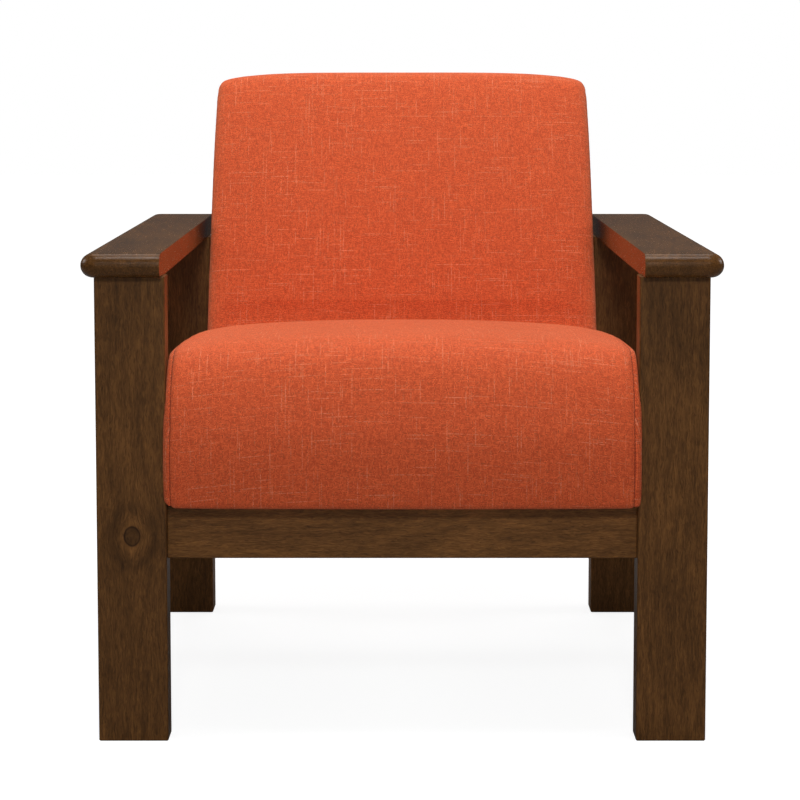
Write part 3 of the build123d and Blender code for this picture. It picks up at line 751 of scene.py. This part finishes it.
def mixed(tree, share, first, second, blend="MIX"):
    """A colour between two others, or the first with the second blended in."""
    node = tree.nodes.new("ShaderNodeMix")
    node.data_type = "RGBA"
    node.blend_type = blend
    put(tree, share, node.inputs[0])
    put(tree, first, node.inputs[6])
    put(tree, second, node.inputs[7])
    return node.outputs[2]


def tinted(tree, base, share, most, colour):
    """The base with another colour over it, by the share times the most that it may cover."""
    return mixed(tree, calc(tree, "MULTIPLY", share, most), base, (*colour, 1.0))


def shaded(tree, share, base, factor):
    """The colour made lighter or darker by a factor, with its grain kept."""
    return mixed(tree, share, base, (factor, factor, factor, 1.0), "MULTIPLY")


def bump(tree, shader, height, distance, rounding=0.0):
    """Raise the surface by a height, and round its edges where a rounding is given."""
    node = tree.nodes.new("ShaderNodeBump")
    node.inputs["Distance"].default_value = distance
    node.inputs["Strength"].default_value = 1.0
    put(tree, height, node.inputs["Height"])
    if rounding:
        bevel = tree.nodes.new("ShaderNodeBevel")
        bevel.samples = 4
        bevel.inputs["Radius"].default_value = rounding
        tree.links.new(bevel.outputs[0], node.inputs["Normal"])
    tree.links.new(node.outputs[0], shader.inputs["Normal"])


def toned(colour, share):
    return tuple(channel * share for channel in colour)


# Materials


def rows_of(tree, across, along, pitch, change, seed):
    """Parallel yarns: the place across them, each one's row, and a spot for its noise."""
    place = calc(tree, "DIVIDE", across, pitch)
    row = calc(tree, "FLOOR", place)
    along_row = calc(tree, "MULTIPLY", along, change)
    spot = combined(tree, along_row, calc(tree, "MULTIPLY", row, row_stride), seed)
    return place, row, spot


def yarns(tree, across, along, seed):
    """The yarns of one direction: their row, their rounded ridge and how light they are."""
    place, row, spot = rows_of(tree, across, along, thread_pitch, yarn_change, seed)
    light = noise(tree, spot, detail=1.0)
    ridge = calc(tree, "SINE", calc(tree, "MULTIPLY", calc(tree, "FRACT", place), math.pi))
    return row, ridge, light


def slubs(tree, across, along, seed):
    """Thicker yarns here and there: thin dotted lines that run for a few centimetres."""
    place, _, spot = rows_of(tree, across, along, slub_pitch, slub_change, seed)
    found = noise(tree, spot, detail=1.0)
    drawn = step_between(tree, found, slub_least, slub_least + slub_fade)
    edge = distance_from(tree, calc(tree, "FRACT", place), 0.5)
    body = calc(tree, "SUBTRACT", 1.0, step_between(tree, edge, 0.12, 0.30))
    dots = noise(tree, scaled(tree, spot, (30.0, 1.0, 1.0)))
    dots = step_between(tree, dots, 0.34, 0.62)
    return calc(tree, "MULTIPLY", calc(tree, "MULTIPLY", drawn, body), dots)


def seam_shade_line(tree, seam, along):
    """Painted shade along a seam's crease, darkest between its stitches."""
    line = step_between(tree, calc(tree, "ABSOLUTE", seam), *seam_shade_line_width)
    line = calc(tree, "SUBTRACT", 1.0, line)
    stitch = calc(tree, "FRACT", calc(tree, "DIVIDE", along, stitch_pitch))
    stitch = step_between(tree, distance_from(tree, stitch, 0.5), 0.05, 0.22)
    stitch = calc(tree, "MULTIPLY", stitch, stitch_share)
    return calc(tree, "MULTIPLY", line, calc(tree, "ADD", seam_shade_line_least, stitch))


def linen():
    """Orange slub linen, woven along each panel's own threads."""
    material, tree, shader = new_material("orange_linen", 0.8)
    seam = attribute(tree, "seam").outputs["Fac"]
    main = attribute(tree, "main_panel").outputs["Vector"]
    side = attribute(tree, "side_panel").outputs["Vector"]
    panel = mixed(tree, calc(tree, "GREATER_THAN", seam, 0.0), main, side)
    u, v, _ = parts_of(tree, panel)
    column, warp_ridge, warp_light = yarns(tree, u, v, 2.0)
    row, weft_ridge, weft_light = yarns(tree, v, u, 8.0)
    flecks = tree.nodes.new("ShaderNodeTexWhiteNoise")
    put(tree, combined(tree, column, row), flecks.inputs["Vector"])
    fleck = flecks.outputs["Value"]
    over = calc(tree, "PINGPONG", calc(tree, "ADD", column, row), 1.0)
    over = calc(tree, "GREATER_THAN", over, 0.5)
    top_yarn = chosen(tree, over, warp_light, weft_light)
    ridge = chosen(tree, over, warp_ridge, weft_ridge)
    fuzz = noise(tree, panel, scale=1500.0)
    cloud = noise(tree, panel, scale=18.0, detail=3.0)
    weave = weighted_sum(
        tree,
        (top_yarn, top_yarn_share),
        (fleck, fleck_share),
        (fuzz, fuzz_share),
        (ridge, ridge_share),
    )
    base = tones(tree, weave, (0.30, linen_deep), (0.72, linen_light), (0.52, linen_middle))
    dark = step_between(tree, fleck, 0.93, 0.97)
    base = tinted(tree, base, dark, 0.45, linen_fleck)
    bright = calc(tree, "MAXIMUM", slubs(tree, v, u, 1.0), slubs(tree, u, v, 6.0))
    base = tinted(tree, base, bright, 0.42, linen_slub)
    shade = step_between(tree, cloud, 0.25, 0.8)
    base = tinted(tree, base, shade, 0.08, linen_shade)
    # Painted shade along the seams' creases
    base = mixed(tree, seam_shade_line(tree, seam, v), base, (*seam_shade_colour, 1.0))
    put(tree, base, shader.inputs["Base Color"])
    shader.inputs["Sheen Weight"].default_value = 0.18
    shader.inputs["Sheen Roughness"].default_value = 0.5
    shader.inputs["Sheen Tint"].default_value = (*linen_sheen, 1.0)
    shader.inputs["Specular IOR Level"].default_value = 0.15
    height = calc(tree, "ADD", ridge, calc(tree, "MULTIPLY", fleck, 0.5))
    height = calc(tree, "ADD", height, bright)
    bump(tree, shader, height, 0.00025)
    return material


def knot_distance(tree, place, knot):
    """How far a place on the board's face lies from the middle of the knot, in knot radii."""
    x, z, size = knot
    scale = (knot_narrowness / size, 0.0, 1 / size)
    shift = (-knot_narrowness * x / size, 0.0, -z / size)
    return length_of(tree, scaled(tree, place, scale, shift))


def drawn_round_knot(tree, place, knot_x, away):
    """The place, moved so that the grain flows round the knot."""
    near = calc(tree, "MULTIPLY", calc(tree, "POWER", away, 2.0), -knot_pull_fade)
    near = calc(tree, "POWER", math.e, near)
    x, y, z = parts_of(tree, place)
    pull = calc(tree, "SUBTRACT", knot_x, x)
    pull = calc(tree, "MULTIPLY", pull, calc(tree, "MULTIPLY", near, knot_pull))
    return combined(tree, calc(tree, "ADD", x, pull), y, z)


def walnut(name, along, tone, gloss, least_rough, knot=None):
    """Brown stained wood, its grain along one axis. A knot is (x, z, half its height)."""
    material, tree, shader = new_material(f"walnut_{name}", 0.4)
    place = place_of(tree)
    # Each board has its own figure, set by the letters of its name
    seed = 1.7 * len(name) + ord(name[0]) * 0.31 + ord(name[-1]) * 0.17

    def stretched(source, grain):
        scale, slow = grain
        squeeze = [scale] * 3
        squeeze[along] = scale * slow
        return scaled(tree, source, squeeze, (seed, seed * 0.7, seed * 1.3))

    wander = noise_node(tree, stretched(place, wander_grain), scale=5.0, detail=1.0)
    bent = tree.nodes.new("ShaderNodeVectorMath")
    bent.operation = "MULTIPLY_ADD"
    put(tree, wander.outputs["Color"], bent.inputs[0])
    bent.inputs[1].default_value = (wander_reach, wander_reach, wander_reach)
    put(tree, place, bent.inputs[2])
    wavy = bent.outputs[0]
    if knot:
        away = knot_distance(tree, place, knot)
        wavy = drawn_round_knot(tree, wavy, knot[0], away)
    flow = noise(tree, stretched(wavy, flow_grain), roughness=0.45, distortion=0.2)
    rings = calc(tree, "FRACT", calc(tree, "MULTIPLY", flow, ring_count))
    rings = distance_from(tree, rings, 0.5)
    fibres = noise(tree, stretched(wavy, fibre_grain), roughness=0.6)
    streaks = noise(tree, stretched(wavy, streak_grain), detail=3.0, roughness=0.6)
    pores = noise(tree, stretched(wavy, pore_grain), detail=1.0)
    pores = step_between(tree, pores, 0.58, 0.72)
    cloud = noise(tree, stretched(place, cloud_grain), detail=3.0)
    figure = weighted_sum(
        tree,
        (rings, ring_share),
        (fibres, fibre_share),
        (streaks, streak_share),
        (cloud, cloud_share),
    )
    base = tones(tree, figure, (0.34, toned(tone, 0.42)), (0.70, toned(tone, 1.85)), (0.52, tone))
    base = tinted(tree, base, pores, 0.5, toned(tone, 0.32))
    if knot:
        for middle, outer, full, factor in knot_rings:
            ring = distance_from(tree, away, middle)
            base = shaded(tree, step_between(tree, ring, outer, full), base, factor)
    put(tree, base, shader.inputs["Base Color"])
    rough = tree.nodes.new("ShaderNodeMapRange")
    put(tree, fibres, rough.inputs["Value"])
    rough.inputs["To Min"].default_value = least_rough
    rough.inputs["To Max"].default_value = least_rough + 0.14
    tree.links.new(rough.outputs["Result"], shader.inputs["Roughness"])
    shader.inputs["Specular IOR Level"].default_value = gloss
    height = calc(tree, "SUBTRACT", fibres, calc(tree, "MULTIPLY", pores, 0.8))
    bump(tree, shader, height, 0.0003 * least_rough, 0.0016)
    return material


def timber(name, along, tone):
    """Pale unstained wood of the hidden frames."""
    material, tree, shader = new_material(name, 0.7)
    place = place_of(tree)
    squeeze = [60.0] * 3
    squeeze[along] = 2.0
    grain = noise(tree, scaled(tree, place, squeeze), detail=4.0, roughness=0.6, distortion=0.4)
    fibre = noise(tree, scaled(tree, place, [8 * s for s in squeeze]))
    figure = weighted_sum(tree, (grain, 0.7), (fibre, 0.3))
    base = tones(tree, figure, (0.32, toned(tone, 0.72)), (0.66, toned(tone, 1.15)))
    put(tree, base, shader.inputs["Base Color"])
    bump(tree, shader, figure, 0.0003, 0.001)
    return material


def metal(name, colour, roughness):
    """Clouded bare or plated steel."""
    material, tree, shader = new_material(name, roughness)
    cloud = noise(tree, place_of(tree), scale=260.0, detail=3.0)
    base = tones(tree, cloud, (0.3, toned(colour, 0.75)), (0.7, colour))
    put(tree, base, shader.inputs["Base Color"])
    shader.inputs["Metallic"].default_value = 1.0
    bump(tree, shader, cloud, 0.00005, 0.0003)
    return material


def dust_cloth():
    """Black bonded cloth with its pressed dimples."""
    material, tree, shader = new_material("dust_cloth", 0.9)
    place = place_of(tree)
    felted = noise(tree, place, scale=700.0, detail=3.0, roughness=0.7)
    dots = tree.nodes.new("ShaderNodeTexVoronoi")
    put(tree, place, dots.inputs["Vector"])
    dots.inputs["Scale"].default_value = 420.0
    dots.inputs["Randomness"].default_value = 0.15
    pressed = step_between(tree, dots.outputs["Distance"], 0.15, 0.4)
    dark, light = dust_tones
    base = tones(tree, felted, (0.3, dark), (0.7, light))
    put(tree, base, shader.inputs["Base Color"])
    bump(tree, shader, calc(tree, "ADD", felted, pressed), 0.0003)
    return material


def board():
    """Brown pressed fibre board."""
    material, tree, shader = new_material("fibre_board", 0.75)
    felted = noise(tree, place_of(tree), scale=340.0, detail=4.0, roughness=0.7)
    dark, light = board_tones
    base = tones(tree, felted, (0.3, dark), (0.7, light))
    put(tree, base, shader.inputs["Base Color"])
    bump(tree, shader, felted, 0.0002)
    return material


def show_wood():
    """Stained boards with grain axis, tone and polish; some tones hold painted light and shade."""
    grain_of = {
        "front_leg_left": Z,
        "front_leg_right": Z,
        "rear_leg_left": Z,
        "rear_leg_right": Z,
        "arm_left": Y,
        "arm_right": Y,
        "front_rail": X,
        "side_rail_left": Y,
        "side_rail_right": Y,
        "rear_lower_rail": X,
        "rear_upper_rail": X,
    }
    finishes = {}
    for name, along in grain_of.items():
        knot = leg_knot if name == "front_leg_left" else None
        gloss, rough, share = 0.13, 0.34, 1.0
        # The arms' darker tone is painted shade, standing in for the shade under their noses
        if name.startswith("arm"):
            gloss, rough, share = 0.15, 0.18, 0.80
        # The front rail's lighter tone is painted light, against the seat's shadow on it
        if name == "front_rail":
            share = 1.3
        # The rear legs' lighter tone is painted light, where little lamp light reaches them
        if name.startswith("rear_leg"):
            share = 1.35
        finishes[name] = walnut(name, along, toned(stained_brown, share), gloss, rough, knot)
    return finishes


def dress_nodes():
    """Give each CAD node that keeps its own mesh its finish."""
    finishes = show_wood()
    grain_of = {
        X: ("seat_frame_front", "seat_frame_rear", "back_top_rail", "back_middle_rail"),
        Y: ("seat_frame_left", "seat_frame_right", "seat_cleat_left", "seat_cleat_right"),
        Z: ("back_stile_left", "back_stile_right", "seat_frame_blocks", "frame_corner_blocks"),
    }
    for along, names in grain_of.items():
        wood = timber(f"frame_timber_{'XYZ'[along]}", along, pale_timber)
        for name in names:
            finishes[name] = wood
    finishes["back_bottom_rail"] = finishes["back_top_rail"]
    finishes["arm_dowels"] = timber("beech_upright", Z, pale_beech)
    finishes["rail_dowels"] = timber("beech_across", X, pale_beech)
    zinc = metal("zinc_steel", zinc_grey, 0.35)
    for name in ("cleat_screws", "seat_bolts", "back_bolts", "back_screws"):
        finishes[name] = zinc
    for name in ("seat_inserts", "back_inserts"):
        finishes[name] = zinc
    spring = metal("spring_steel", spring_grey, 0.45)
    finishes["seat_springs"] = spring
    finishes["spring_clips"] = spring
    finishes["back_rear_board"] = board()
    for name, material in finishes.items():
        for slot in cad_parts[name].material_slots:
            slot.material = material


def dust_sheet():
    """The black cloth under the seat, a sheet that hangs a little between its edges."""
    width, length = dust_high[X] - dust_low[X], dust_high[Y] - dust_low[Y]
    mesh = bmesh.new()
    grid = []
    for j in range(sheet_rows + 1):
        line = []
        for i in range(sheet_columns + 1):
            s, t = i / sheet_columns, j / sheet_rows
            hang = math.sin(math.pi * s) * math.sin(math.pi * t)
            sag = sheet_sag * hang**sheet_sag_power
            x = dust_low[X] + width * s
            y = dust_low[Y] + length * t
            line.append(mesh.verts.new((x, y, dust_low[Z] + sheet_lift - sag)))
        grid.append(line)
    for low, high in zip(grid, grid[1:]):
        for i in range(sheet_columns):
            mesh.faces.new((low[i], low[i + 1], high[i + 1], high[i]))
    data = bpy.data.meshes.new("dust_sheet")
    mesh.to_mesh(data)
    mesh.free()
    piece = new_object("dust_sheet", data)
    smooth(data)
    data.materials.append(dust_cloth())
    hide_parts("seat_dust_cover")
    return piece


# Camera, lamps, room and floor


def camera():
    """Square to the front, at the height of the back's top, looking slightly down."""
    data = bpy.data.cameras.new("camera")
    data.lens = camera_lens
    data.sensor_width = camera_film
    data.shift_x, data.shift_y = camera_shift
    eye = new_object("camera", data)
    eye.location = camera_place
    eye.rotation_euler = (math.radians(90.0 - camera_drop), 0.0, 0.0)
    bpy.context.scene.camera = eye


def softbox(name, place, target, size, power):
    data = bpy.data.lights.new(name, "AREA")
    data.shape = "RECTANGLE"
    data.size, data.size_y = size
    data.energy = power
    lamp = new_object(name, data)
    lamp.location = place
    lamp.rotation_euler = (Vector(target) - Vector(place)).to_track_quat("-Z", "Y").to_euler()


def sky():
    """An even room: white to the camera and through glass, dim as a light and in reflections."""
    world = bpy.data.worlds.new("room")
    bpy.context.scene.world = world
    world.use_nodes = True
    tree = world.node_tree
    tree.nodes.clear()
    output = tree.nodes.new("ShaderNodeOutputWorld")
    room = tree.nodes.new("ShaderNodeBackground")
    room.inputs["Color"].default_value = (*white, 1.0)
    rays = tree.nodes.new("ShaderNodeLightPath").outputs
    seen = calc(tree, "MAXIMUM", rays["Is Camera Ray"], rays["Is Transmission Ray"])
    glossy = calc(tree, "MULTIPLY", rays["Is Glossy Ray"], room_in_gloss)
    seen = calc(tree, "MAXIMUM", seen, glossy)
    strength = calc(tree, "MAXIMUM", seen, room_light)
    tree.links.new(strength, room.inputs["Strength"])
    tree.links.new(room.outputs[0], output.inputs["Surface"])


def floor():
    """A plain pale floor. It looks white where it is lit and keeps the chair's soft shadow."""
    data = bpy.data.meshes.new("floor")
    near, far = -floor_reach, floor_reach
    corners = [(near, near, 0.0), (far, near, 0.0), (far, far, 0.0), (near, far, 0.0)]
    data.from_pydata(corners, [], [(0, 1, 2, 3)])
    piece = new_object("floor", data)
    material, tree, shader = new_material("floor", 0.9)
    shader.inputs["Base Color"].default_value = (*floor_grey, 1.0)
    shader.inputs["Specular IOR Level"].default_value = 0.0
    rays = tree.nodes.new("ShaderNodeLightPath").outputs
    spread = step_between(tree, length_of(tree, place_of(tree)), *floor_fade)
    glow = calc(tree, "ADD", floor_glow, calc(tree, "MULTIPLY", spread, floor_far_glow))
    shader.inputs["Emission Color"].default_value = (*white, 1.0)
    glow = calc(tree, "MULTIPLY", rays["Is Camera Ray"], glow)
    tree.links.new(glow, shader.inputs["Emission Strength"])
    data.materials.append(material)


dress_nodes()
cover_cloth = linen()
seat = seat_cushion(cover_cloth)
back = back_cushion(cover_cloth)
for cushion in (seat, back):
    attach(cushion, "root")
sheet = dust_sheet()
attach(sheet, "root")

camera()
for lamp_name, settings in lamps.items():
    softbox(lamp_name, *settings)
sky()
floor()
bpy.context.scene.view_settings.view_transform = "Standard"
